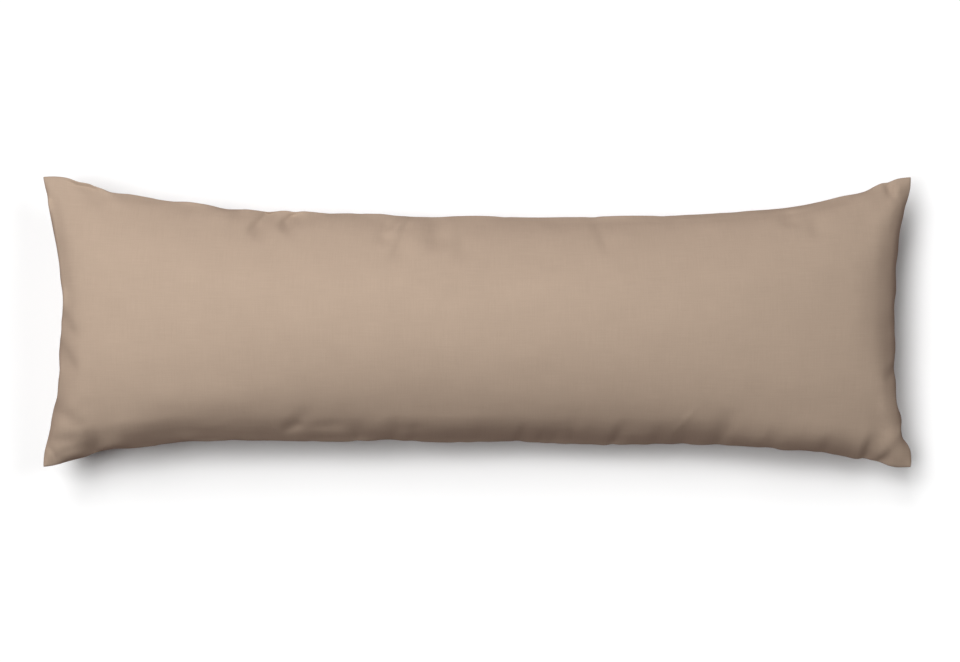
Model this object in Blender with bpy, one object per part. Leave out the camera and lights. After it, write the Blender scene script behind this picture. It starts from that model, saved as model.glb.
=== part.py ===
"""Outdoor lumbar pillow: two canvas panels sewn edge to edge, turned out and stuffed with fibre.

Metres, +Z up. The pillow lies on its back: +X runs along it, +Y across it towards the upper seam
and +Z out of its front. The origin is the middle of its footprint, on the surface it lies on.

The model is made the way the pillow is. A flat envelope of the sewn size is cut into a grid, and
filling it draws the seams in, lifts a crown on both sides, flattens the back where it rests and
leaves creases that run in from the seams. Cloth hardly stretches, so the crown of a section isn't
a free choice: it follows from how far the two seams of that section are drawn together.
"""

import math

import bmesh
import bpy
from mathutils import Vector, noise

MM = 0.001

# Driving dimensions, in metres
SEWN_LENGTH = 0.914  # seam to seam along the empty cover, 36 in
SEWN_WIDTH = 0.305  # seam to seam across the empty cover, 12 in
TIP_LENGTH = 0.903  # corner tip to corner tip along the filled pillow
TIP_WIDTH = 0.303
LIP = 0.0028  # the two turned panels where they meet at the seam
SEAM_HEIGHT = 0.066  # of the long seams above the surface the pillow lies on
TIP_DROOP = 0.010  # how much lower the unfilled corner tips hang than the long seams
FILL = 0.93  # crown that the fibre fills, as a share of the tightest crown the cloth allows
END_CLIMB = 0.082  # length of cloth over which the crown climbs most of its way from an end seam
END_GATHER = 0.023  # length of cloth over which an end seam's draw-in is taken up
REST_BLEND = 0.004  # height over which the back turns from its flat rest into its curved sides
TIP_ROUNDING = 0.0018  # how far the turned corner points are blunted
SEAM_STIFF = 0.006  # height next to the seam that the seam itself holds free of creases
LUMP_SIZE = 0.085  # across one soft lump of the fibre
LUMP_HEIGHT = 0.0022

CELLS_ALONG = 108
CELLS_ACROSS = 26

# How far the seams are drawn in from a straight line between the tips, in millimetres.
# Along the long seams: (place along X, draw-in of the upper seam, draw-in of the lower seam)
LONG_SEAMS = (
    (-452, 0.0, 0.0),
    (-432, 0.2, 4.0),
    (-416, 4.8, 8.8),
    (-400, 9.0, 14.2),
    (-384, 14.5, 18.6),
    (-366, 18.0, 20.0),
    (-340, 22.0, 22.2),
    (-300, 26.4, 27.0),
    (-262, 33.0, 28.0),
    (-225, 36.0, 28.2),
    (-160, 37.6, 26.6),
    (-95, 39.4, 28.6),
    (-40, 41.4, 26.0),
    (40, 42.4, 27.6),
    (100, 42.2, 24.8),
    (180, 40.6, 24.4),
    (240, 38.6, 23.8),
    (290, 34.8, 21.6),
    (330, 30.6, 17.8),
    (362, 24.8, 15.8),
    (384, 18.8, 11.6),
    (402, 15.6, 9.2),
    (416, 8.6, 6.2),
    (432, 3.6, 1.4),
    (452, 0.0, 0.0),
)
# Along the end seams: (place along Y, draw-in of the left seam, draw-in of the right seam)
END_SEAMS = (
    (-152, 0.0, 0.0),
    (-138, 0.4, 0.2),
    (-118, 4.6, 9.6),
    (-100, 9.4, 12.0),
    (-76, 13.6, 16.0),
    (-48, 17.0, 18.4),
    (-20, 17.6, 17.4),
    (22, 20.8, 18.4),
    (50, 17.4, 16.4),
    (80, 13.4, 14.0),
    (105, 9.0, 10.2),
    (128, 4.2, 3.4),
    (142, 1.8, 0.8),
    (152, 0.0, 0.0),
)

# Creases in the front: from a place on or near a seam to where the crease runs out, the width of
# its trough and its depth, all in millimetres.
CREASES = (
    # x0, y0, x1, y1, width, depth
    (-384, 137, -396, 118, 13, 2.5),
    (-443, 128, -437, 112, 13, 2.5),
    (-316, 127, -326, 108, 14, 1.5),
    (-217, 116, -239, 88, 13, 5.0),
    (-194, 115, -210, 98, 13, 4.5),
    (-78, 110, -100, 86, 13, 3.0),
    (-64, 110, -91, 66, 13, 3.2),
    (-60, 108, -42, 76, 13, 3.5),
    (-28, 108, -25, 70, 13, 1.8),
    (116, 110, 131, 76, 13, 2.8),
    (316, 121, 321, 102, 13, 1.8),
    (424, 147, 439, 126, 13, 3.8),
    (-399, -138, -415, -103, 13, 6.2),
    (-309, -127, -356, -84, 18, 4.2),
    (-204, -121, -177, -90, 13, 5.5),
    (-132, -121, -125, -101, 13, 3.0),
    (-102, -122, -88, -100, 13, 4.8),
    (37, -124, 51, -105, 13, 3.8),
    (58, -125, 72, -103, 13, 3.8),
    (97, -127, 98, -84, 13, 2.5),
    (137, -127, 153, -101, 13, 3.8),
    (194, -126, 223, -84, 13, 3.0),
    (242, -128, 262, -89, 13, 5.8),
    (397, -143, 413, -118, 13, 5.5),
    (412, -147, 439, -126, 13, 4.8),
    (-427, 16, -416, -10, 13, 4.2),
    (-433, -18, -421, -37, 13, 3.8),
    (-437, -70, -415, -104, 13, 4.2),
    (434, -41, 424, -66, 13, 3.8),
)
# The back, made plain: the same seams gather it at fewer places.
BACK_CREASES = (
    # x0, y0, x1, y1, width, depth
    (-398, 138, -414, 108, 13, 5.0),
    (-232, 118, -214, 88, 13, 4.0),
    (-70, 111, -82, 80, 13, 3.5),
    (122, 111, 108, 80, 13, 3.2),
    (262, 116, 281, 90, 13, 3.2),
    (404, 138, 418, 110, 13, 5.0),
    (-402, -138, -417, -108, 13, 5.5),
    (-256, -124, -240, -96, 13, 3.8),
    (-96, -122, -110, -92, 13, 4.0),
    (60, -125, 50, -95, 13, 3.2),
    (214, -127, 230, -98, 13, 3.8),
    (402, -141, 416, -113, 13, 5.2),
    (-430, 18, -412, 4, 13, 3.8),
    (434, -38, 416, -48, 13, 3.5),
)


def clear_scene():
    for obj in list(bpy.data.objects):
        bpy.data.objects.remove(obj, do_unlink=True)


def between_rows(rows, column, at):
    """The value of a column at a place, on a smooth curve through the rows of a table."""
    if at <= rows[0][0]:
        return rows[0][column]
    if at >= rows[-1][0]:
        return rows[-1][column]
    index = max(i for i, row in enumerate(rows) if row[0] <= at)
    low, high = rows[index], rows[index + 1]
    before = rows[max(index - 1, 0)]
    after = rows[min(index + 2, len(rows) - 1)]
    span = high[0] - low[0]
    slope_low = (high[column] - before[column]) / (high[0] - before[0]) * span
    slope_high = (after[column] - low[column]) / (after[0] - low[0]) * span
    part = (at - low[0]) / span
    return (
        (2 * part**3 - 3 * part**2 + 1) * low[column]
        + (part**3 - 2 * part**2 + part) * slope_low
        + (3 * part**2 - 2 * part**3) * high[column]
        + (part**3 - part**2) * slope_high
    )


def arc_angle(chord_share):
    """Half the angle of the arc whose chord is this share of its own length."""
    angle = math.sqrt(6 * (1 - chord_share))
    for _ in range(6):
        miss = math.sin(angle) - chord_share * angle
        angle -= miss / (math.cos(angle) - chord_share)
    return angle


class Section:
    """The slice across the pillow at one place along it: where its seams are, and its arc."""

    def __init__(self, x):
        upper = TIP_WIDTH / 2 - between_rows(LONG_SEAMS, 1, x / MM) * MM
        lower = -TIP_WIDTH / 2 + between_rows(LONG_SEAMS, 2, x / MM) * MM
        self.middle = (upper + lower) / 2
        self.half = (upper - lower) / 2
        self.angle = arc_angle(2 * self.half / SEWN_WIDTH)

    def place(self, across):
        """Where along Y the cloth lies, from -1 at the lower seam to 1 at the upper one."""
        return self.middle + self.half * math.sin(self.angle * across) / math.sin(self.angle)

    def crown(self, across):
        """Height of tight cloth over the seams."""
        rise = math.cos(self.angle * across) - math.cos(self.angle)
        return self.half * rise / math.sin(self.angle)


FULL_SECTION = Section(0)


def filled(along, across, face):
    """Where a point of the flat cover lies once it is filled. along and across run from -1 to 1
    between the seams, and face is 1 in front and -1 behind."""
    side = math.copysign(1, along)
    from_end = (1 - abs(along)) * SEWN_LENGTH / 2
    from_side = (1 - abs(across)) * SEWN_WIDTH / 2

    # The end seam is drawn in, and the cloth beside it takes that up as it climbs.
    column = 2 if along > 0 else 1
    end_seam = TIP_LENGTH / 2 - between_rows(END_SEAMS, column, across * TIP_WIDTH / 2 / MM) * MM
    gathered = (SEWN_LENGTH / 2 - end_seam) * math.exp(-from_end / END_GATHER)
    x = along * SEWN_LENGTH / 2 - side * gathered
    y = Section(x).place(across)

    # The full section's crown, which rises out of the end seams, sooner near the long ones.
    climb = max(END_CLIMB * math.tanh(from_side / END_CLIMB), MM)
    crown = FILL * FULL_SECTION.crown(across) * (1 - math.exp(-from_end / climb))
    lump = noise.noise(Vector((x, y, face * LUMP_SIZE)) / LUMP_SIZE) * LUMP_HEIGHT
    crown += lump * min(1, crown / 0.03)
    droop = TIP_DROOP * abs(along) ** 6 * across**2
    return Vector((x, y, SEAM_HEIGHT - droop + face * (LIP / 2 + crown)))


def rest_flat(z):
    """Heights below the surface come up to it, with a short blend from the flat to the sides."""
    if z >= REST_BLEND:
        return z
    if z <= -REST_BLEND:
        return 0.0
    return (z + REST_BLEND) ** 2 / (4 * REST_BLEND)


def crease_depth(x, y, creases):
    """How deep the creases are at a place in plan."""
    total = 0.0
    for x0, y0, x1, y1, width, depth in creases:
        start = Vector((x0, y0)) * MM
        run = Vector((x1, y1)) * MM - start
        offset = Vector((x, y)) - start
        along = offset.dot(run) / run.length_squared
        aside = abs(offset.x * run.y - offset.y * run.x) / run.length
        if -0.5 < along < 1 and aside < 2 * width * MM:
            fade = 1 - max(along, 0) ** 2
            opening = width * MM * (0.7 + 0.5 * max(along, 0)) / 2
            total += depth * MM * fade * math.exp(-((aside / opening) ** 2))
    return total


def creased(along, across, face):
    """A filled point, pressed in along the cloth's own normal where a crease runs."""
    step = 0.002
    here = filled(along, across, face)
    length = filled(min(along + step, 1), across, face) - filled(max(along - step, -1), across, face)
    width = filled(along, min(across + step, 1), face) - filled(along, max(across - step, -1), face)
    normal = length.cross(width).normalized() * face
    over_seam = abs(here.z - filled(along, across, 0).z) - LIP / 2
    free = min(1, over_seam / SEAM_STIFF)
    creases = CREASES if face > 0 else BACK_CREASES
    here -= normal * free * crease_depth(here.x, here.y, creases)
    here.z = rest_flat(here.z)
    return here


def flat_envelope():
    """The empty cover: a box of the sewn size, as thick as its seam, its faces cut into a grid."""
    bpy.ops.mesh.primitive_cube_add(size=1)
    envelope = bpy.context.object
    envelope.dimensions = (SEWN_LENGTH, SEWN_WIDTH, LIP)
    bpy.ops.object.transform_apply(location=False, rotation=False, scale=True)
    mesh = bmesh.new()
    mesh.from_mesh(envelope.data)
    for axis, cells in ((0, CELLS_ALONG), (1, CELLS_ACROSS)):
        edges = [e for e in mesh.edges if abs((e.verts[0].co - e.verts[1].co)[axis]) > LIP * 2]
        bmesh.ops.subdivide_edges(mesh, edges=edges, cuts=cells - 1, use_grid_fill=True)
    mesh.to_mesh(envelope.data)
    mesh.free()
    return envelope


def fill(envelope):
    """Moves every point of the flat envelope to where the filling pushes it."""
    for vertex in envelope.data.vertices:
        along = vertex.co.x / (SEWN_LENGTH / 2)
        across = vertex.co.y / (SEWN_WIDTH / 2)
        face = 1 if vertex.co.z > 0 else -1
        vertex.co = creased(along, across, face)
        if abs(along) > 0.999 and abs(across) > 0.999:
            inwards = Vector((-math.copysign(1, along), -math.copysign(1, across), 0))
            vertex.co += inwards * TIP_ROUNDING


def canvas():
    material = bpy.data.materials.new("taupe_canvas")
    material.use_nodes = True
    shader = material.node_tree.nodes["Principled BSDF"]
    shader.inputs["Base Color"].default_value = (0.47, 0.36, 0.28, 1)
    shader.inputs["Roughness"].default_value = 0.9
    shader.inputs["Metallic"].default_value = 0.0
    return material


def build():
    clear_scene()
    pillow = flat_envelope()
    pillow.name = "pillow"
    pillow.data.name = "pillow"
    fill(pillow)
    pillow.data.materials.append(canvas())
    pillow.data.shade_smooth()
    parts = bpy.data.collections.new("lumbar_pillow")
    bpy.context.scene.collection.children.link(parts)
    for holder in list(pillow.users_collection):
        holder.objects.unlink(pillow)
    parts.objects.link(pillow)


build()
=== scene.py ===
import math

import bpy
import numpy as np
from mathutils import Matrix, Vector, noise


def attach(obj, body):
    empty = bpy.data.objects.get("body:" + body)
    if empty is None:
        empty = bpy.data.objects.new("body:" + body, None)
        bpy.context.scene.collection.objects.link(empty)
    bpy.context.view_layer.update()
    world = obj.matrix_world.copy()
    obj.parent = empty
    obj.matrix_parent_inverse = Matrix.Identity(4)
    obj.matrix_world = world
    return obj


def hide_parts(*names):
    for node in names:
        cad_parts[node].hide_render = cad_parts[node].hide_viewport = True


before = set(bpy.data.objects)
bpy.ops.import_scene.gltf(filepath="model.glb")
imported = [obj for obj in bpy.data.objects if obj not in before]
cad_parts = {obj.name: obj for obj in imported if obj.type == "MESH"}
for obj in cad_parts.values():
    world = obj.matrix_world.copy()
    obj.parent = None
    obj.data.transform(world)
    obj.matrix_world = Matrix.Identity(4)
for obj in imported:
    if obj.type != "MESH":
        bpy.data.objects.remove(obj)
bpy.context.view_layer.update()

mm = 0.001
mergeDistance = 1e-5  # closer than this, points of the two panels are sewn into one
atLeast = 1e-6  # stands in for a distance of nothing where one is divided by
print("frame loaded")


# Camera: straight over the front, with a long lens

cameraSettings = dict(
    lens=120.0,
    sensor=36.0,
    pictureWidth=0.9985,  # metres of seam plane across the picture
    lookAt=(0.0030, -0.0094),
    seamPlane=0.066,
    farthest=50,
)


def addCamera(c):
    distance = c["pictureWidth"] * c["lens"] / c["sensor"]
    bpy.ops.object.camera_add(location=(*c["lookAt"], c["seamPlane"] + distance))
    camera = bpy.context.object
    camera.name = "camera"
    camera.data.lens = c["lens"]
    camera.data.sensor_width = c["sensor"]
    camera.data.clip_end = c["farthest"]
    bpy.context.scene.camera = camera


addCamera(cameraSettings)
print("camera placed")


# The pillow cover: two panels, sewn edge to edge and blown up like the real thing

cover = dict(
    length=0.914,  # seam to seam, as sewn flat
    width=0.305,
    tipLength=0.903,  # tip to tip once filled
    tipWidth=0.303,
    cells=(152, 50),  # of each flat panel, along and across, while it is blown up
    quickCells=(76, 26),
    onEdge=0.9999,  # past this share of the half length or width a point is on the seam
    seamHeight=0.066,
    tipDroop=0.010,  # how much lower than the seam the tips lie
    endGather=0.023,  # how far from an end the long seams take up the cover's lost length
    puff=0.004,  # how far the flat panels start apart
    puffRise=12,  # how steeply they part beside the seam
    mapStep=0.4,  # how far the back panel lies beside the front one on the map
    edgeOut=0.0012,  # how far the allowance folded inside holds the seam out
    edgeReach=0.005,  # how far from the seam it does so, and a crease draws the seam in
)

# How far the seams are drawn in from a line between the tips, in millimetres
# (place along x, upper seam, lower seam)
longSeams = [
    (-452, 0.0, 0.0), (-438, 0.0, 2.7), (-426, 1.8, 6.4), (-414, 6.0, 9.4), (-402, 8.0, 11.6),
    (-390, 12.9, 16.8), (-380, 16.6, 19.3), (-360, 18.9, 20.0), (-340, 22.2, 22.0),
    (-320, 26.0, 25.1), (-300, 26.8, 27.5), (-280, 29.8, 27.3), (-260, 34.4, 28.3),
    (-240, 34.2, 28.3), (-220, 35.9, 28.2), (-200, 35.9, 27.7), (-180, 36.6, 27.2),
    (-160, 38.4, 26.7), (-125, 39.0, 27.0), (-98, 39.6, 28.3), (-78, 42.0, 27.5), (-40, 42.0, 26.0),
    (0, 41.3, 25.9), (40, 42.8, 27.0), (60, 43.2, 25.0), (80, 43.0, 24.0), (100, 42.9, 23.9),
    (120, 42.3, 23.9), (140, 41.7, 22.4), (160, 41.5, 23.9), (180, 41.4, 23.6), (200, 41.4, 24.2),
    (220, 40.5, 23.3), (240, 39.4, 23.1), (280, 36.4, 22.2), (300, 35.1, 20.6), (320, 33.1, 18.0),
    (340, 30.0, 18.0), (360, 25.6, 15.2), (380, 20.6, 12.1), (400, 16.7, 7.4), (412, 11.0, 5.6),
    (424, 5.7, 2.4), (436, 2.4, 0.0), (452, 0.0, 0.0),
]
# (place along y, left seam, right seam)
endSeams = [
    (-152, 0.0, 0.0), (-140, 0.8, 0.0), (-130, 2.6, 2.4), (-120, 5.4, 10.3), (-110, 8.4, 12.0),
    (-100, 9.9, 11.4), (-90, 11.8, 15.0), (-80, 16.0, 17.2), (-60, 18.3, 17.2), (-50, 19.9, 18.6),
    (-40, 18.9, 18.8), (-30, 18.4, 17.6), (-20, 19.4, 17.7), (-10, 21.7, 18.4), (0, 21.2, 18.5),
    (10, 23.6, 18.9), (20, 25.1, 18.6), (30, 24.2, 17.0), (40, 21.3, 17.0), (60, 19.3, 16.8),
    (70, 17.3, 15.1), (80, 15.3, 14.4), (100, 10.8, 11.5), (110, 8.7, 9.0), (120, 7.0, 7.0),
    (130, 5.2, 3.4), (140, 2.3, 0.9), (152, 0.0, 0.0),
]


def alongRows(rows, column, at):
    # a smooth curve through the rows of a table
    place = np.array([row[0] for row in rows], float)
    value = np.array([row[column] for row in rows], float)
    slope = np.gradient(value, place)
    i = np.clip(np.searchsorted(place, at) - 1, 0, len(place) - 2)
    span = place[i + 1] - place[i]
    p = np.clip((at - place[i]) / span, 0, 1)
    return (
        (2 * p**3 - 3 * p**2 + 1) * value[i]
        + (p**3 - 2 * p**2 + p) * slope[i] * span
        + (3 * p**2 - 2 * p**3) * value[i + 1]
        + (p**3 - p**2) * slope[i + 1] * span
    )


def drawnSeam(c, along, across):
    # where the points of the flat seam lie on the filled pillow; along and across run -1 to 1
    fromEnd = (1 - np.abs(along)) * c["length"] / 2
    shrink = (c["length"] - c["tipLength"]) / 2 * np.exp(-fromEnd / c["endGather"])
    x = along * c["length"] / 2 - np.sign(along) * shrink
    y = across * c["tipWidth"] / 2
    top = c["tipWidth"] / 2 - c["edgeOut"] - alongRows(longSeams, 1, x / mm) * mm
    bottom = -c["tipWidth"] / 2 + c["edgeOut"] + alongRows(longSeams, 2, x / mm) * mm
    left = -c["tipLength"] / 2 + alongRows(endSeams, 1, y / mm) * mm
    right = c["tipLength"] / 2 - alongRows(endSeams, 2, y / mm) * mm
    onLong = np.abs(across) > c["onEdge"]
    onEnd = (np.abs(along) > c["onEdge"]) & ~onLong
    y = np.where(onLong, np.where(across > 0, top, bottom), y)
    x = np.where(onEnd, np.where(along > 0, right, left), x)
    z = c["seamHeight"] - c["tipDroop"] * np.abs(along) ** 6 * across**2
    return np.stack([x, y, z], axis=1)


def deselectAll():
    bpy.ops.object.select_all(action="DESELECT")


def readPoints(mesh):
    points = np.empty(len(mesh.vertices) * 3)
    mesh.vertices.foreach_get("co", points)
    return points.reshape(-1, 3)


def writePoints(mesh, points):
    mesh.vertices.foreach_set("co", np.ascontiguousarray(points).ravel())
    mesh.update()


def turnOver():
    # the faces of the panel being made look the other way
    bpy.ops.object.mode_set(mode="EDIT")
    bpy.ops.mesh.select_all(action="SELECT")
    bpy.ops.mesh.flip_normals()
    bpy.ops.object.mode_set(mode="OBJECT")


def sewTogether(panels):
    # one piece of the panels, with their points merged along the seam
    deselectAll()
    for panel in panels:
        panel.select_set(True)
    bpy.context.view_layer.objects.active = panels[0]
    bpy.ops.object.join()
    bpy.ops.object.mode_set(mode="EDIT")
    bpy.ops.mesh.select_all(action="SELECT")
    bpy.ops.mesh.remove_doubles(threshold=mergeDistance)
    bpy.ops.object.mode_set(mode="OBJECT")
    return bpy.context.object


def sewFlatCover(c, cells):
    # a front panel, and a back panel turned over, sewn along the seam
    panels = []
    for face in (1, -1):
        deselectAll()
        bpy.ops.mesh.primitive_grid_add(x_subdivisions=cells[0], y_subdivisions=cells[1], size=1)
        panel = bpy.context.object
        panel.scale = (c["length"], c["width"], 1)
        bpy.ops.object.transform_apply(location=False, rotation=False, scale=True)
        points = readPoints(panel.data)
        insideEnds = 1 - np.abs(points[:, 0]) / (c["length"] / 2)
        insideSides = 1 - np.abs(points[:, 1]) / (c["width"] / 2)
        rise = np.maximum(insideEnds * insideSides, 0) * c["puffRise"]
        points[:, 2] = face * c["puff"] * np.minimum(1, rise)
        writePoints(panel.data, points)
        if face < 0:
            turnOver()
        panels.append(panel)
    return sewTogether(panels)


fibre = dict(
    pressure=600.0,
    quality=8,
    vertexMass=0.3,
    stretch=40.0,
    shear=10.0,
    bending=3.0,
    drawFrames=22,  # over which the seam is drawn in
    frames=46,
    quickFrames=30,
)


def inflate(c, f, cells):
    sewn = sewFlatCover(c, cells)
    flat = readPoints(sewn.data)
    along = flat[:, 0] / (c["length"] / 2)
    across = flat[:, 1] / (c["width"] / 2)
    seam = (np.abs(along) > c["onEdge"]) | (np.abs(across) > c["onEdge"])

    # the cover starts flat at the seam's height, and its seam is then drawn in over some frames
    start = flat + (0, 0, c["seamHeight"])
    writePoints(sewn.data, start)
    sewn.shape_key_add(name="flat")
    drawn = sewn.shape_key_add(name="drawn")
    goal = np.where(seam[:, None], drawnSeam(c, along, across), start)
    drawn.data.foreach_set("co", goal.ravel())
    for value, at in ((0, 1), (1, f["drawFrames"])):
        drawn.value = value
        drawn.keyframe_insert("value", frame=at)
    held = sewn.vertex_groups.new(name="seam")
    held.add([int(i) for i in np.nonzero(seam)[0]], 1.0, "REPLACE")

    frames = f["frames"]
    cloth = sewn.modifiers.new("Cloth", "CLOTH")
    cloth.point_cache.frame_start = 1
    cloth.point_cache.frame_end = frames
    cloth.collision_settings.use_collision = False
    solver = cloth.settings
    solver.quality = f["quality"]
    solver.mass = f["vertexMass"]
    solver.tension_stiffness = solver.compression_stiffness = f["stretch"]
    solver.shear_stiffness = f["shear"]
    solver.bending_stiffness = f["bending"]
    solver.use_pressure = True
    solver.uniform_pressure_force = f["pressure"]
    solver.effector_weights.gravity = 0
    solver.vertex_group_mass = "seam"
    for at in range(1, frames + 1):
        bpy.context.scene.frame_set(at)

    solved = sewn.evaluated_get(bpy.context.evaluated_depsgraph_get())
    points = readPoints(solved.data)
    bpy.context.scene.frame_set(1)
    bpy.data.objects.remove(sewn, do_unlink=True)

    # sort the points into one grid for each panel
    column = np.rint((along + 1) / 2 * cells[0]).astype(int)
    row = np.rint((across + 1) / 2 * cells[1]).astype(int)
    grids = {}
    for face in (1, -1):
        mine = seam | (flat[:, 2] * face > 0)
        grid = np.zeros((cells[0] + 1, cells[1] + 1, 3))
        grid[column[mine], row[mine]] = points[mine]
        grids[face] = grid
    return grids


simulated = inflate(cover, fibre, cover["cells"])
print("cover inflated")


# The finished cover: the same panels on a finer grid, close-set beside the seam

surface = dict(
    pitch=0.0025,  # of the grid away from the seam
    seamRows=(0.0, 0.0009, 0.0019, 0.0032, 0.0050, 0.0072),  # from the seam, along the cloth
    relax=6,  # rounds of smoothing that take the solver's own small ripples out
    slack=0.93,  # the fibre doesn't press the cover quite tight
    clothRise=0.082,  # how far in from an end the blown-up cover rises
    leftRise=0.052,  # with the fibre packed into the ends it rises sooner
    rightRise=0.066,
    packing=0.010,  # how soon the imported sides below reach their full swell
    packedReach=0.055,
    packedBelow=0.0036,  # how much the fibre swells the cover there
    packedLeft=0.0026,
    packedRight=0.0030,
    knifeEdge=0.06,  # how far the cover comes in from the seam, at least, for its length
    knifeSoftness=0.2,
    knifeReach=0.05,
    seamPull=0.4,  # how much of a crease's depth the seam is pulled in
    undulations=((0.060, 0.00030, 3.0), (0.022, 0.00014, 7.0)),  # size, height and seed
    puckerSize=0.017,  # of the shallow gathers that the stitching makes
    puckerHeight=0.0016,
    puckerReach=0.014,
    puckerRun=20,  # how quickly they change away from the seam
    puckerSides=7.3,  # keeps the gathers of the four sides unlike
    puckerEnd=6,  # past this many reaches next to nothing is left of them
    cornerTurn=0.02,  # over which the way inwards turns at a corner
    clothThickness=0.0009,
    lipReach=0.0010,  # how quickly the turned edge swells beside the seam's groove
    restBlend=0.004,  # the flat patch below blends out over this height
)

# How much higher or lower than the blown-up cover the filled one lies beside each seam, in
# millimetres at these distances from the seam; the first one moves the seam itself
sectionDistances = (0, 3, 6, 10, 16, 24, 36, 70)
backReach = 45  # how far from the seam the back panel follows it, in millimetres
upperSections = [
    # place along x, then at each distance
    (-452, 0, 0, 0, 0, 0, 0, 0, 0),
    (-432, 2, 1.4, 1, 0.5, 0, -0.5, -0.5, 0),
    (-418, 8, 2.0, 1.4, 0.7, -0.3, -1, -1, 0),
    (-400, 9, 3.6, 1.8, 0.6, -0.6, -1.2, -1.2, 0),
    (-385, 11, 5.0, 1.9, 0.4, -0.9, -1.6, -1.6, 0),
    (-372, 8.6, 5, 2.4, 0.5, -1.3, -2.2, -2.2, 0),
    (-300, 9.4, 6, 3.4, 1.2, -1.4, -3.2, -3.4, 0),
    (-200, 9.4, 5.4, 2.6, 0.8, -1, -2.6, -3, 0),
    (-110, 9, 7.3, 5.3, 3, 0.8, -1, -2, 0),
    (-78, 9, 6.2, 4.2, 2.8, 1.8, 0.3, -0.8, 0),
    (-30, 9, 7.2, 5.2, 3, 1, -0.7, -1.6, 0),
    (0, 9, 7.5, 5.5, 3, 0.8, -0.8, -1.8, 0),
    (60, 9, 6, 3.2, 1.3, -0.2, -1.4, -2, 0),
    (150, 9.8, 5.4, 2, 0, -2, -3.2, -3.2, 0),
    (250, 10.5, 5.2, 1, -1.4, -3.2, -4.2, -3.8, 0),
    (330, 9, 3.4, 0.2, -1, -1.8, -2.2, -2, 0),
    (390, 5.8, 1.6, -0.4, -0.8, -1.2, -1.4, -1.2, 0),
    (430, 1.5, 1, 0.5, 0.4, 0, 0, 0, 0),
    (452, 0, 0, 0, 0, 0, 0, 0, 0),
]
lowerSections = [
    (-452, 0, 0, 0, 0, 0, 0, 0, 0),
    (-440, 0, 0, 0, 0, 0, 0, 0, 0),
    (-418, -4, 1, 1.4, 0, 0, 0, 0, 0),
    (-405, -4.5, -3, -2.4, -1.4, 0.6, 1.2, 0.4, 0),
    (-388, 2, 0.6, -0.4, -0.8, -0.8, -0.4, 0, 0),
    (-360, -1, -2.1, -2.8, -2.6, -1, 0.2, 0, 0),
    (-325, -2.5, -6.8, -8, -7.5, -4.8, -1.4, 0, 0),
    (-290, 1.2, -4.4, -6.6, -7.2, -4.8, -2, 0, 0),
    (-250, 2.2, -2.6, -5, -5.1, -4, -2, 0, 0),
    (-215, -1, -3, -4.5, -4.3, -2.8, -1, 0, 0),
    (-170, -2, -2.3, -2.3, -2, -2, -0.7, 0, 0),
    (-105, 0, -1.6, -2.2, -1.8, -1.2, -0.5, 0, 0),
    (-75, -3.5, -3.6, -3.2, -1.6, -0.2, 0.5, 0, 0),
    (-40, -7, -6.8, -5.7, -3.5, -0.8, 0.6, 0, 0),
    (30, -9, -8.8, -7.8, -5.6, -2.6, -0.6, 0, 0),
    (110, -12, -11.5, -10, -7, -3.3, -1, 0, 0),
    (165, -9, -8.5, -7.2, -5, -3, -1, 0, 0),
    (220, -9, -8.5, -7.5, -5.5, -2.5, -0.5, 0, 0),
    (265, -2, -2.2, -2, -1.2, -0.5, 0, 0, 0),
    (300, 4, 3.8, 3.4, 3, 2.2, 1.2, 0, 0),
    (345, 0, 0, 0.3, 1.4, 2, 1.4, 0, 0),
    (385, -5, -3.8, -2.4, -0.8, 0.6, 0.8, 0, 0),
    (420, -3, -2, -1, 0, 0.5, 0.5, 0, 0),
    (452, 0, 0, 0, 0, 0, 0, 0, 0),
]
leftSections = [
    # place along y, then at each distance
    (-152, 0, 0, 0, 0, 0, 0, 0, 0),
    (-120, 0, 0, 0, 0, 0, 0, 0, 0),
    (-90, 3, -2, -3.2, -2, -0.5, 0, 0, 0),
    (-50, 4, -1.3, -3.8, -4.3, -3, -0.5, 0, 0),
    (0, 3, -1.8, -3.8, -3.6, -2.5, -2, -1.5, 0),
    (40, 4, -0.4, -2.6, -2.8, -1.9, -1.7, -1.4, 0),
    (80, 3.5, -1, -2.8, -2.1, -0.3, 1, 0.4, 0),
    (112, 3, -1.8, -4.2, -4, -2, -1, 0, 0),
    (123, 7, -1.6, -3.5, -3.0, -1.6, -0.8, 0, 0),
    (132, 0, -1.0, -2.0, -2.0, -1, -0.5, 0, 0),
    (152, 0, 0, 0, 0, 0, 0, 0, 0),
]
rightSections = [
    (-152, 0, 0, 0, 0, 0, 0, 0, 0),
    (-128, 0, 0, 0, 0, 0, 0, 0, 0),
    (-110, 2.5, -1.2, -1.7, -1.2, -0.8, -0.4, 0, 0),
    (-90, 2.6, -0.8, -1, -0.2, 0.8, 0, 0, 0),
    (-70, 0, -2.0, -1.8, -1, 0.4, 0.8, 0.3, 0),
    (-45, -3, -4.2, -4.2, -3.6, -1.5, 0, 0.4, 0),
    (-20, -3, -5, -5.4, -5, -3.2, -1, 0.2, 0),
    (30, -2.5, -4, -4.1, -4, -3.1, -1.5, 0, 0),
    (60, -0.5, -3.4, -3.9, -4.1, -3.3, -1.4, 0, 0),
    (90, 0, -2.8, -3.2, -3, -2, -0.4, 0, 0),
    (130, 0, -1, -1, -0.5, 0, 0, 0, 0),
    (152, 0, 0, 0, 0, 0, 0, 0, 0),
]

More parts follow.
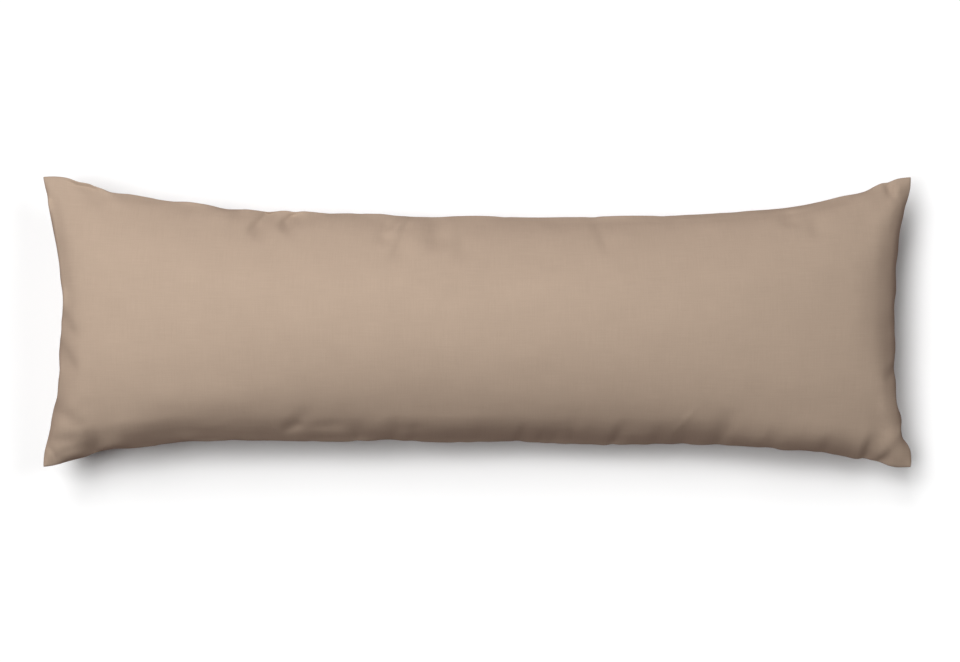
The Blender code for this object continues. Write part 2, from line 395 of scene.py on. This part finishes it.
# Creases of the front that run in from a seam, in millimetres: from the seam to where it
# fades out, sideways bow, reach of the wall on the left and on the right of the run, depth
seamCreases = [
    # x0, y0, x1, y1, bow, left, right, depth
    (-380, 137, -396, 117, 0, 6, 4, 1.8),
    (-330, 129, -341, 104, 0, 10, 5, 1.0),
    (-312, 126, -323, 98, 0, 10, 5, 1.2),
    (-242, 119, -262, 84, 0, 10, 6, 2.2),
    (-122, 116, -128, 102, 0, 6, 4, 1.4),
    (428, 151, 437, 122, -1, 7, 5, 4.2),
    (-396, -140, -408, -108, 0, 9, 12, 7.5),
    (-124, -129, -124, -96, 0, 8, 7, 4.2),
    (-92, -127, -74, -94, 0, 7, 9, 3.2),
    (-70, -128, -58, -98, 0, 6, 8, 2.0),
    (0, -129, 10, -96, 0, 7, 9, 2.0),
    (40, -128, 53, -100, 0, 5, 8, 4.2),
    (64, -129, 76, -100, 0, 5, 8, 2.6),
    (76, -130, 91, -99, 0, 7, 9, 4.2),
    (100, -130, 97, -86, 0, 5, 7, 2.0),
    (138, -131, 155, -97, 0, 5, 8, 4.0),
    (184, -131, 192, -102, 0, 7, 9, 2.8),
    (212, -131, 222, -98, 0, 9, 9, 2.6),
    (248, -132, 263, -84, -1, 12, 8, 5.0),
    (302, -134, 307, -104, 0, 7, 9, 2.4),
    (360, -139, 365, -112, 0, 6, 8, 3.0),
    (401, -146, 411, -110, 0, 5, 14, 6.0),
    (410, -150, 434, -131, -2, 5, 7, 6.0),
    (441, -39, 419, -68, -1, 6, 6, 5.0),
]
# Folds and ridges within the front, which fade at both ends; a ridge has a negative depth
surfaceFolds = [
    # x0, y0, x1, y1, bow, left, right, depth
    (-356, 129, -326, 123, 0, 3, 3, 0.7),
    (-262, 112, -236, 110, 0, 4, 6, 1.0),
    (-209, 121, -235, 89, 0, 14, 6, 8.2),
    (-184, 116, -205, 96, 0, 11, 5, 9.0),
    (-62, 117, -96, 86, 0, 5, 5, -3.2),
    (-68, 111, -87, 58, 1, 14, 6, 3.8),
    (-91, 106, -98, 78, 0, 12, 7, 3.2),
    (-45, 114, -39, 72, 0, 16, 12, 5.5),
    (-16, 106, -14, 58, 0, 16, 10, 2.6),
    (122, 112, 136, 66, 0, 14, 7, 2.6),
    (322, 117, 321, 96, 0, 14, 8, 3.2),
    (347, 114, 351, 84, 0, 14, 8, 2.2),
    (124, 105, 146, 97, 0, 3, 4, 0.6),
    (424, 147, 428, 129, 1, 4, 3.5, 2.6),
    (438, 145, 435, 128, 0, 3.5, 3.5, -2.0),
    (-436, 16, -410, -20, 2, 6, 10, 2.6),
    (-440, -16, -410, -52, 2, 6, 10, 2.2),
    (-447, -90, -412, -106, 3, 9, 8, 3.0),
    (-450, -122, -414, -123, 0, 7, 8, 2.4),
    (-449, -126, -437, -147, 2, 4, 2.5, 1.6),
    (-403, -126, -411, -98, 0, 5, 8, 1.4),
    (-408, -118, -350, -98, 0, 7, 7, -0.6),
    (-294, -115, -248, -100, 0, 5, 5, -0.6),
    (-201, -118, -170, -88, 0, 8, 8, 2.0),
    (-203, -112, -180, -103, 0, 6, 5, 2.2),
    (-170, -107, -138, -104.5, 0, 5, 6, 1.0),
    (-190, -121, -134, -121, 0, 4, 4, 0.8),
    (-114, -112, -84, -95, 0, 6, 6, -0.6),
    (-86, -112, -54, -108, 0, 5, 6, 1.1),
    (-92, -121, -56, -121, 0, 3.5, 4, 1.2),
    (196, -122, 228, -84, 0, 3, 3, -0.7),
    (414, -142, 444, -104, 0, 12, 7, -2.4),
    (440, 128, 430, 92, 0, 5, 5, 0.8),
]
# The back, which the same seams gather at fewer places
backCreases = [
    # x0, y0, x1, y1, bow, left, right, depth
    (-398, 140, -414, 108, 1, 7, 8, 3.6),
    (-232, 118, -214, 88, 1, 6, 8, 2.8),
    (-150, 116, -158, 92, 0, 5, 7, 1.4),
    (-70, 112, -82, 80, -1, 6, 8, 2.5),
    (30, 112, 24, 88, 0, 5, 7, 1.4),
    (122, 112, 108, 80, 1, 6, 8, 2.5),
    (190, 113, 197, 92, 0, 5, 7, 1.4),
    (262, 117, 281, 90, 0, 6, 8, 2.4),
    (404, 139, 418, 110, -1, 7, 8, 3.6),
    (-402, -139, -417, -108, 1, 7, 8, 3.6),
    (-330, -131, -322, -108, 0, 5, 7, 1.5),
    (-256, -127, -240, -96, 0, 6, 8, 2.4),
    (-170, -128, -176, -104, 0, 5, 7, 1.4),
    (-96, -126, -110, -92, 1, 6, 8, 2.7),
    (-20, -128, -12, -104, 0, 5, 7, 1.4),
    (60, -128, 50, -95, 0, 6, 8, 2.2),
    (140, -130, 146, -106, 0, 5, 7, 1.4),
    (214, -130, 230, -98, 1, 6, 8, 2.4),
    (310, -134, 302, -108, 0, 5, 7, 1.7),
    (402, -143, 416, -113, 1, 7, 8, 3.6),
    (-436, 60, -418, 70, 0, 5, 7, 1.7),
    (-434, 4, -412, -4, 1, 6, 8, 2.5),
    (438, -70, 420, -78, 0, 5, 7, 1.7),
    (437, 22, 416, 30, 1, 6, 8, 2.4),
]
# Soft hollows and swells of the fibre in the front: place, how far they reach along and
# across, turn in degrees, height
fibreLumps = [
    # x, y, reachX, reachY, turn, height
    (-402, 130, 12, 10, 30, -0.7),
    (-250, -74, 60, 22, 8, 0.8),
    (-424, -128, 10, 8, -20, 1.2),
    (-66, 86, 9, 14, 0, 1.2),
]


def gridLines(s, extent):
    # distances from one edge to the other, in metres, close-set near both
    close = np.array(s["seamRows"])
    middle = extent - 2 * close[-1]
    steps = int(round(middle / s["pitch"]))
    even = close[-1] + middle * np.arange(1, steps) / steps
    return np.concatenate([close, even, extent - close[::-1]])


def cubicWeights(position, count):
    # Catmull-Rom weights for reading a row of points at places between them
    i = np.clip(np.floor(position).astype(int), 0, count - 2)
    p = position - i
    index = np.clip(np.stack([i - 1, i, i + 1, i + 2], axis=1), 0, count - 1)
    weight = np.stack([
        (-p + 2 * p**2 - p**3) / 2,
        (2 - 5 * p**2 + 3 * p**3) / 2,
        (p + 4 * p**2 - 3 * p**3) / 2,
        (-p**2 + p**3) / 2,
    ], axis=1)
    return index, weight


def resample(grid, along, across):
    index, weight = cubicWeights(along * (grid.shape[0] - 1), grid.shape[0])
    grid = np.einsum("ik,ikjc->ijc", weight, grid[index])
    index, weight = cubicWeights(across * (grid.shape[1] - 1), grid.shape[1])
    return np.einsum("jk,ijkc->ijc", weight, grid[:, index])


def relaxed(grid, rounds):
    # averages each inner point with its neighbours; the seam stays where it is
    grid = grid.copy()
    for _ in range(rounds):
        around = (grid[:-2, 1:-1] + grid[2:, 1:-1] + grid[1:-1, :-2] + grid[1:-1, 2:]) / 4
        grid[1:-1, 1:-1] = (grid[1:-1, 1:-1] + around) / 2
    return grid


def gridNormals(points, face):
    normal = np.cross(np.gradient(points, axis=0), np.gradient(points, axis=1)) * face
    return normal / np.linalg.norm(normal, axis=2, keepdims=True)


def easeIn(value):
    value = np.clip(value, 0, 1)
    return value * value * (3 - 2 * value)


alongLines = gridLines(surface, cover["length"])
acrossLines = gridLines(surface, cover["width"])
fromEnd = np.minimum(alongLines, cover["length"] - alongLines)[:, None]
fromSide = np.minimum(acrossLines, cover["width"] - acrossLines)[None, :]
fromSeam = np.minimum(fromEnd, fromSide)


def filledPanels(c, s):
    # the two panels on the fine grid, each held a little nearer to the middle by its slack
    panels = {}
    for face in (1, -1):
        panels[face] = resample(
            relaxed(simulated[face], s["relax"]), alongLines / c["length"], acrossLines / c["width"]
        )
    # the ends are packed fuller than the blown-up cover, but for their corners
    across = np.abs(acrossLines / c["width"] * 2 - 1)[None, :]
    fuller = 0
    for rise, distance in ((s["leftRise"], alongLines), (s["rightRise"], c["length"] - alongLines)):
        distance = np.maximum(distance, atLeast)[:, None]
        packed = (1 - np.exp(-distance / rise)) / (1 - np.exp(-distance / s["clothRise"]))
        fuller = fuller + (packed - 1) * (1 - across**4)
    swell = 0
    for amount, distance in (
        (s["packedBelow"], acrossLines[None, :]),
        (s["packedLeft"], alongLines[:, None]),
        (s["packedRight"], (c["length"] - alongLines)[:, None]),
    ):
        swell = np.maximum(swell, amount * np.exp(-(distance / s["packedReach"]) ** 2))
    swell = swell * (1 - np.exp(-fromSeam / s["packing"]))
    middle = (panels[1] + panels[-1]) / 2
    for face in (1, -1):
        offset = (panels[face] - middle) * (1, 1, s["slack"])
        offset[:, :, 2] = offset[:, :, 2] * (1 + fuller) + face * swell
        panels[face] = knifeEdged(s, middle + offset)
        panels[face][:, :, 2] += sectionField(panels[face], face)
    return panels


def knifeEdged(s, points):
    # the filled cover slopes up from the seam all round and nowhere hangs over it
    points = points.copy()
    for axis, lines, extent in ((0, alongLines, alongLines[-1]), (1, acrossLines, acrossLines[-1])):
        for edge, sign in ((0, 1), (-1, -1)):
            distance = lines if edge == 0 else extent - lines
            distance = distance[:, None] if axis == 0 else distance[None, :]
            seam = points[edge, :, axis][None, :] if axis == 0 else points[:, edge, axis][:, None]
            short = s["knifeEdge"] * distance - sign * (points[:, :, axis] - seam)
            shift = (short + np.sqrt(short**2 + (s["knifeSoftness"] * distance) ** 2)) / 2
            points[:, :, axis] += sign * shift * (1 - easeIn(distance / s["knifeReach"]))
    return points


def sectionField(points, face):
    # how much the sections raise the front, and how much their seam takes the back along
    place = points / mm
    total = np.zeros(points.shape[:2])
    for rows, axis, far in (
        (upperSections, 1, True), (lowerSections, 1, False), (leftSections, 0, False),
        (rightSections, 0, True),
    ):
        grid = place if axis == 1 else place.swapaxes(0, 1)
        edge = -1 if far else 0
        away = np.abs(grid[:, :, axis] - grid[:, edge:, axis][:, :1])
        along = grid[:, edge, 1 - axis]
        columns = [alongRows(rows, k + 1, along) for k in range(len(sectionDistances))]
        if face > 0:
            raised = np.array([
                alongRows(list(zip(sectionDistances, values)), 1, distances)
                for values, distances in zip(np.stack(columns, axis=1), away)
            ])
        else:
            raised = columns[0][:, None] * np.exp(-away / backReach)
        total = total + (raised if axis == 1 else raised.swapaxes(0, 1))
    return total * mm


# How a crease comes in and fades, in shares of its run: from this far before its first point it
# deepens, then it holds, then it fades; its walls start at this width and widen towards its end
seamRun = dict(before=0.25, comesOver=0.45, holdsTo=0.25, fadesOver=0.75, width=0.8, widens=0.5)
freeRun = dict(before=0.1, comesOver=0.45, holdsTo=0.65, fadesOver=0.45, width=1.0, widens=0.0)


def creaseField(points, rows, run):
    # how deep the rows of a table press the points in, looking straight at the face
    x, y = points[:, :, 0] / mm, points[:, :, 1] / mm
    field = np.zeros(x.shape)
    for x0, y0, x1, y1, bow, left, right, depth in rows:
        # further off than this, next to nothing of the crease is left
        room = 3 * max(left, right) + abs(bow)
        near = (
            (x > min(x0, x1) - room) & (x < max(x0, x1) + room)
            & (y > min(y0, y1) - room) & (y < max(y0, y1) + room)
        )
        runX, runY = x1 - x0, y1 - y0
        length = math.hypot(runX, runY)
        offX, offY = x[near] - x0, y[near] - y0
        part = (offX * runX + offY * runY) / length**2
        within = np.clip(part, 0, 1)
        aside = (offY * runX - offX * runY) / length - bow * 4 * within * (1 - within)
        comes = easeIn((part + run["before"]) / run["comesOver"])
        fade = comes * (1 - easeIn((part - run["holdsTo"]) / run["fadesOver"]))
        wall = np.where(aside > 0, left, right) * (run["width"] + run["widens"] * within)
        field[near] += depth * mm * fade * np.exp(-(aside / wall) ** 2)
    return field


def lumpField(points, rows):
    x, y = points[:, :, 0] / mm, points[:, :, 1] / mm
    field = np.zeros(x.shape)
    for x0, y0, reachX, reachY, turn, height in rows:
        turnX, turnY = math.cos(math.radians(turn)), math.sin(math.radians(turn))
        u = ((x - x0) * turnX + (y - y0) * turnY) / reachX
        v = (-(x - x0) * turnY + (y - y0) * turnX) / reachY
        field += height * mm * np.exp(-(u**2 + v**2))
    return field


def noiseField(points, size, seed):
    field = np.empty(points.shape[:2])
    for i in range(points.shape[0]):
        for j in range(points.shape[1]):
            x, y, z = points[i, j] / size
            field[i, j] = noise.noise((x + seed, y, z))
    return field


def puckerField(s, points):
    # shallow gathers beside the stitching, uneven along every seam
    along = np.where(fromEnd < fromSide, points[:, :, 1], points[:, :, 0]) / s["puckerSize"]
    # a number for each of the four sides
    side = np.where(fromEnd < fromSide, np.sign(points[:, :, 0]) + 5, np.sign(points[:, :, 1]))
    reach = (fromSeam / s["puckerReach"]) * np.exp(1 - fromSeam / s["puckerReach"])
    field = np.zeros(along.shape)
    for i, j in np.argwhere(fromSeam < s["puckerEnd"] * s["puckerReach"]):
        place = (along[i, j], side[i, j] * s["puckerSides"], fromSeam[i, j] * s["puckerRun"])
        field[i, j] = noise.noise(place)
    return s["puckerHeight"] * field * reach


def inward(s, points):
    # from the nearest seam towards the middle, level
    toEnd = np.where(points[:, :, 0] > 0, -1.0, 1.0)
    toSide = np.where(points[:, :, 1] > 0, -1.0, 1.0)
    endShare = easeIn(0.5 + (fromSide - fromEnd) / s["cornerTurn"])
    direction = np.stack([toEnd * endShare, toSide * (1 - endShare), np.zeros(endShare.shape)], axis=2)
    return direction / np.linalg.norm(direction, axis=2, keepdims=True)


def dressPanels(c, s, panels):
    fields = {
        1: creaseField(panels[1], seamCreases, seamRun),
        -1: creaseField(panels[-1], backCreases, seamRun),
    }
    fields[1] = fields[1] + creaseField(panels[1], surfaceFolds, freeRun)
    fields[1] = fields[1] - lumpField(panels[1], fibreLumps)
    for face in (1, -1):
        fields[face] = fields[face] + puckerField(s, panels[face])
    for size, height, seed in s["undulations"]:
        for face in (1, -1):
            fields[face] = fields[face] + height * noiseField(panels[face], size, seed)
    besideSeam = np.exp(-fromSeam / c["edgeReach"])
    finished = {}
    for face in (1, -1):
        points = panels[face]
        # a crease pulls the seam in with it, and so moves the other panel beside the seam too
        depth = fields[face] + fields[-face] * besideSeam
        towards = (
            inward(s, points) * s["seamPull"] * besideSeam[:, :, None]
            - np.array((0, 0, face)) * (1 - besideSeam[:, :, None])
        )
        points = points + towards * depth[:, :, None]
        points = points - inward(s, points) * (c["edgeOut"] * besideSeam)[:, :, None]
        normal = gridNormals(points, face)
        swell = s["clothThickness"] * (1 - np.exp(-fromSeam / s["lipReach"]))
        points = points + normal * swell[:, :, None]
        # nothing reaches below the surface that the pillow lies on
        z = points[:, :, 2]
        blend = s["restBlend"]
        flattened = np.where(z <= -blend, 0, (z + blend) ** 2 / (4 * blend))
        points[:, :, 2] = np.where(z >= blend, z, flattened)
        finished[face] = points
    return finished


def buildPanel(c, points, face):
    # a grid of faces whose points are then put in place, with the flat panel as its UV map
    bpy.ops.mesh.primitive_grid_add(
        x_subdivisions=len(alongLines) - 1, y_subdivisions=len(acrossLines) - 1, size=1
    )
    panel = bpy.context.object
    flat = readPoints(panel.data)
    column = np.rint((flat[:, 0] + 0.5) * (len(alongLines) - 1)).astype(int)
    row = np.rint((flat[:, 1] + 0.5) * (len(acrossLines) - 1)).astype(int)
    writePoints(panel.data, points[column, row])
    while panel.data.uv_layers:
        panel.data.uv_layers.remove(panel.data.uv_layers[0])
    uvMap = panel.data.uv_layers.new(name="panel")
    corner = np.empty(len(panel.data.loops), int)
    panel.data.loops.foreach_get("vertex_index", corner)
    beside = c["mapStep"] if face < 0 else 0.0
    uv = np.stack([alongLines[column[corner]], acrossLines[row[corner]] + beside], axis=1)
    uvMap.data.foreach_set("uv", uv.ravel())
    if face < 0:
        turnOver()
    return panel


def buildPillow(c, s):
    finished = dressPanels(c, s, filledPanels(c, s))
    deselectAll()
    pillow = sewTogether([buildPanel(c, finished[face], face) for face in (1, -1)])
    pillow.name = "lumbarPillow"
    pillow.data.name = "lumbarPillow"
    bpy.ops.object.shade_smooth()
    return pillow


pillow = buildPillow(cover, surface)
print("pillow built,", len(pillow.data.polygons), "faces")


# Canvas: a fine plain weave of slubbed yarns, read off the flat panels' own map in metres

canvas = dict(
    colour=(0.396, 0.300, 0.229),
    yarnPitch=0.0007,
    yarnRelief=0.00010,
    shadeBetweenYarns=0.94,  # painted shade: darker tone in the gaps between the yarns
    slubLength=0.026,
    slubWidth=0.0011,
    slubTone=0.050,
    slubRelief=0.00004,
    mottleSize=0.030,
    mottleDetail=5.0,
    mottleTone=0.042,
    dyeSize=0.16,
    dyeTone=0.02,
    puckerPitch=0.0042,  # of the small gathers along the stitching
    puckerReach=0.0045,
    puckerRun=30.0,  # how quickly they change away from it
    puckerRelief=0.00022,
    paintedSeamShade=0.88,  # painted shade: tone right at the stitching, in the seam's groove
    seamWidth=0.0009,
    roughness=0.92,
    specular=0.2,
)


def addMath(tree, operation, *values):
    # a maths node; each value is a number or another node's output
    node = tree.nodes.new("ShaderNodeMath")
    node.operation = operation
    for socket, value in zip(node.inputs, values):
        if isinstance(value, (int, float)):
            socket.default_value = value
        else:
            tree.links.new(value, socket)
    return node.outputs[0]


def addNoise(tree, x, y, scaleX, scaleY, detail=2.0):
    # noise from 0 to 1 with its own size along the map's two directions
    place = tree.nodes.new("ShaderNodeCombineXYZ")
    tree.links.new(addMath(tree, "MULTIPLY", x, scaleX), place.inputs["X"])
    tree.links.new(addMath(tree, "MULTIPLY", y, scaleY), place.inputs["Y"])
    node = tree.nodes.new("ShaderNodeTexNoise")
    node.inputs["Scale"].default_value = 1.0
    node.inputs["Detail"].default_value = detail
    tree.links.new(place.outputs["Vector"], node.inputs["Vector"])
    return node.outputs["Fac"]


def canvasMaterial(c, sewn):
    material = bpy.data.materials.new("taupeCanvas")
    material.use_nodes = True
    tree = material.node_tree
    shader = tree.nodes["Principled BSDF"]
    shader.inputs["Roughness"].default_value = c["roughness"]
    shader.inputs["Specular IOR Level"].default_value = c["specular"]

    mapping = tree.nodes.new("ShaderNodeUVMap")
    mapping.uv_map = "panel"
    split = tree.nodes.new("ShaderNodeSeparateXYZ")
    tree.links.new(mapping.outputs["UV"], split.inputs["Vector"])
    x, y = split.outputs["X"], split.outputs["Y"]

    # weave: where the warp passes over, its round shows, and elsewhere the weft's
    turn = math.pi / c["yarnPitch"]
    warpWave = addMath(tree, "SINE", addMath(tree, "MULTIPLY", x, turn))
    weftWave = addMath(tree, "SINE", addMath(tree, "MULTIPLY", y, turn))
    warpOver = addMath(tree, "MULTIPLY_ADD", addMath(tree, "MULTIPLY", warpWave, weftWave), 0.5, 0.5)
    warpRound = addMath(tree, "ABSOLUTE", warpWave)
    weftRound = addMath(tree, "ABSOLUTE", weftWave)
    weave = addMath(
        tree, "ADD",
        addMath(tree, "MULTIPLY", warpRound, warpOver),
        addMath(tree, "MULTIPLY", weftRound, addMath(tree, "SUBTRACT", 1.0, warpOver)),
    )

    # yarns that run thick and thin, both ways of the cloth
    along, thin = 1 / c["slubLength"], 1 / c["slubWidth"]
    slubs = addMath(
        tree, "SUBTRACT",
        addMath(tree, "ADD", addNoise(tree, x, y, along, thin), addNoise(tree, x, y, thin, along)), 1.0,
    )
    mottle = addNoise(tree, x, y, 1 / c["mottleSize"], 1 / c["mottleSize"], c["mottleDetail"])
    dye = addNoise(tree, x, y, 1 / c["dyeSize"], 1 / c["dyeSize"], 1.0)

    # how far it is to the stitching, on either panel
    onBack = addMath(tree, "GREATER_THAN", y, (sewn["width"] + sewn["mapStep"]) / 2)
    across = addMath(tree, "SUBTRACT", y, addMath(tree, "MULTIPLY", onBack, sewn["mapStep"]))
    toEnd = addMath(tree, "MINIMUM", x, addMath(tree, "SUBTRACT", sewn["length"], x))
    toSide = addMath(tree, "MINIMUM", across, addMath(tree, "SUBTRACT", sewn["width"], across))
    toSeam = addMath(tree, "MAXIMUM", addMath(tree, "MINIMUM", toEnd, toSide), 0.0)
    # painted shade along the seam's groove, strongest at the stitching
    paintedSeamShade = addMath(tree, "EXPONENT", addMath(tree, "DIVIDE", toSeam, -c["seamWidth"]))
    puckerFade = addMath(tree, "EXPONENT", addMath(tree, "DIVIDE", toSeam, -c["puckerReach"]))
    # the gathers are counted along whichever seam is nearer
    atSide = addMath(tree, "LESS_THAN", toSide, toEnd)
    alongSeam = addMath(
        tree, "ADD",
        addMath(tree, "MULTIPLY", x, atSide),
        addMath(tree, "MULTIPLY", y, addMath(tree, "SUBTRACT", 1.0, atSide)),
    )
    gathers = addNoise(tree, alongSeam, toSeam, 1 / c["puckerPitch"], c["puckerRun"], 1.0)
    pucker = addMath(tree, "MULTIPLY", gathers, puckerFade)

    # tone: about 1, a little darker with painted shade in the gaps between the yarns and in the seam's
    # groove along the stitching
    # painted shade: the tone darkens where the yarns' round dips between them
    gap = 1 - c["shadeBetweenYarns"]
    tone = addMath(tree, "MULTIPLY_ADD", weave, gap, 1 - gap)
    tone = addMath(tree, "MULTIPLY_ADD", slubs, c["slubTone"] * 2, tone)
    mottle = addMath(tree, "SUBTRACT", mottle, 0.5)
    tone = addMath(tree, "MULTIPLY_ADD", mottle, c["mottleTone"] * 2, tone)
    dye = addMath(tree, "SUBTRACT", dye, 0.5)
    tone = addMath(tree, "MULTIPLY_ADD", dye, c["dyeTone"] * 2, tone)
    # the painted seam shade darkens the tone
    shade = addMath(tree, "MULTIPLY_ADD", paintedSeamShade, c["paintedSeamShade"] - 1, 1.0)
    tone = addMath(tree, "MULTIPLY", tone, shade)
    colour = tree.nodes.new("ShaderNodeVectorMath")
    colour.operation = "SCALE"
    colour.inputs[0].default_value = c["colour"]
    tree.links.new(tone, colour.inputs["Scale"])
    tree.links.new(colour.outputs["Vector"], shader.inputs["Base Color"])

    # relief in metres
    relief = addMath(tree, "MULTIPLY", weave, c["yarnRelief"])
    relief = addMath(tree, "MULTIPLY_ADD", slubs, c["slubRelief"], relief)
    relief = addMath(tree, "MULTIPLY_ADD", pucker, c["puckerRelief"], relief)
    bump = tree.nodes.new("ShaderNodeBump")
    bump.inputs["Strength"].default_value = 1.0
    bump.inputs["Distance"].default_value = 1.0
    tree.links.new(relief, bump.inputs["Height"])
    tree.links.new(bump.outputs["Normal"], shader.inputs["Normal"])
    return material


pillow.data.materials.clear()
pillow.data.materials.append(canvasMaterial(canvas, cover))
print("canvas made")

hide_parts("pillow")
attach(pillow, "root")


# Studio: white floor, far lamps that make one wide soft light from the upper left, and two near
# ones for the pillow alone

studio = dict(
    floorSize=14.0,
    floorDrop=0.0004,  # keeps it clear of the flat patch that lies on it
    floorWhite=0.97,
    floorBounce=(0.34, 0.25, 0.25),  # what the floor gives back to the pillow
    softness=20.0,  # degrees that a far lamp is wide
    farDistance=3.0,
    nearSize=0.5,
    farLamps=(
        # degrees from straight above, bearing from +x, strength, what it lights
        (20, 120, 0.755, "all"),
        (20, 180, 1.018, "all"),
        (40, 112, 0.757, "all"),
        (40, 22, 0.505, "all"),
        (60, 252, 0.165, "all"),
        (33, 145, 0.865, "floor"),
    ),
    nearLamps=(
        # degrees from straight above, bearing from +x, distance, watts, what it lights
        (25, 135, 1.3, 6.10, "pillow"),
        (65, 150, 1.2, 0.65, "pillow"),
    ),
)


def floorMaterial(s):
    # white to look at, but it throws less light back up
    material = bpy.data.materials.new("floorWhite")
    material.use_nodes = True
    tree = material.node_tree
    shader = tree.nodes["Principled BSDF"]
    shader.inputs["Roughness"].default_value = 1.0
    shader.inputs["Specular IOR Level"].default_value = 0.0
    path = tree.nodes.new("ShaderNodeLightPath")
    mix = tree.nodes.new("ShaderNodeMix")
    mix.data_type = "RGBA"
    mix.inputs["A"].default_value = (*s["floorBounce"], 1)
    mix.inputs["B"].default_value = (*[s["floorWhite"]] * 3, 1)
    tree.links.new(path.outputs["Is Camera Ray"], mix.inputs["Factor"])
    tree.links.new(mix.outputs["Result"], shader.inputs["Base Color"])
    return material


def addLamp(kind, lean, bearing, distance, lit):
    lean, bearing = math.radians(lean), math.radians(bearing)
    towards = Vector((
        math.sin(lean) * math.cos(bearing), math.sin(lean) * math.sin(bearing), math.cos(lean)
    ))
    bpy.ops.object.light_add(type=kind, location=towards * distance)
    lamp = bpy.context.object
    lamp.rotation_euler = towards.to_track_quat("Z", "Y").to_euler()
    if lit:
        lamp.light_linking.receiver_collection = lit
    return lamp


def addStudio(s):
    deselectAll()
    bpy.ops.mesh.primitive_plane_add(size=s["floorSize"], location=(0, 0, -s["floorDrop"]))
    floor = bpy.context.object
    floor.name = "floor"
    floor.data.materials.append(floorMaterial(s))
    # a lamp may light the floor alone, which keeps it an even white, or the pillow alone
    lit = {"all": None}
    for name, thing in (("floor", floor), ("pillow", pillow)):
        lit[name] = bpy.data.collections.new("lit_" + name)
        lit[name].objects.link(thing)
    for lean, bearing, strength, what in s["farLamps"]:
        lamp = addLamp("SUN", lean, bearing, s["farDistance"], lit[what])
        lamp.data.angle = math.radians(s["softness"])
        lamp.data.energy = strength
    for lean, bearing, distance, watts, what in s["nearLamps"]:
        lamp = addLamp("AREA", lean, bearing, distance, lit[what])
        lamp.data.shape = "DISK"
        lamp.data.size = s["nearSize"]
        lamp.data.energy = watts
    world = bpy.data.worlds.new("studio")
    bpy.context.scene.world = world
    world.use_nodes = True
    world.node_tree.nodes["Background"].inputs["Color"].default_value = (1, 1, 1, 1)
    world.node_tree.nodes["Background"].inputs["Strength"].default_value = 0.0
    bpy.context.scene.view_settings.view_transform = "Standard"


addStudio(studio)
print("studio lit")
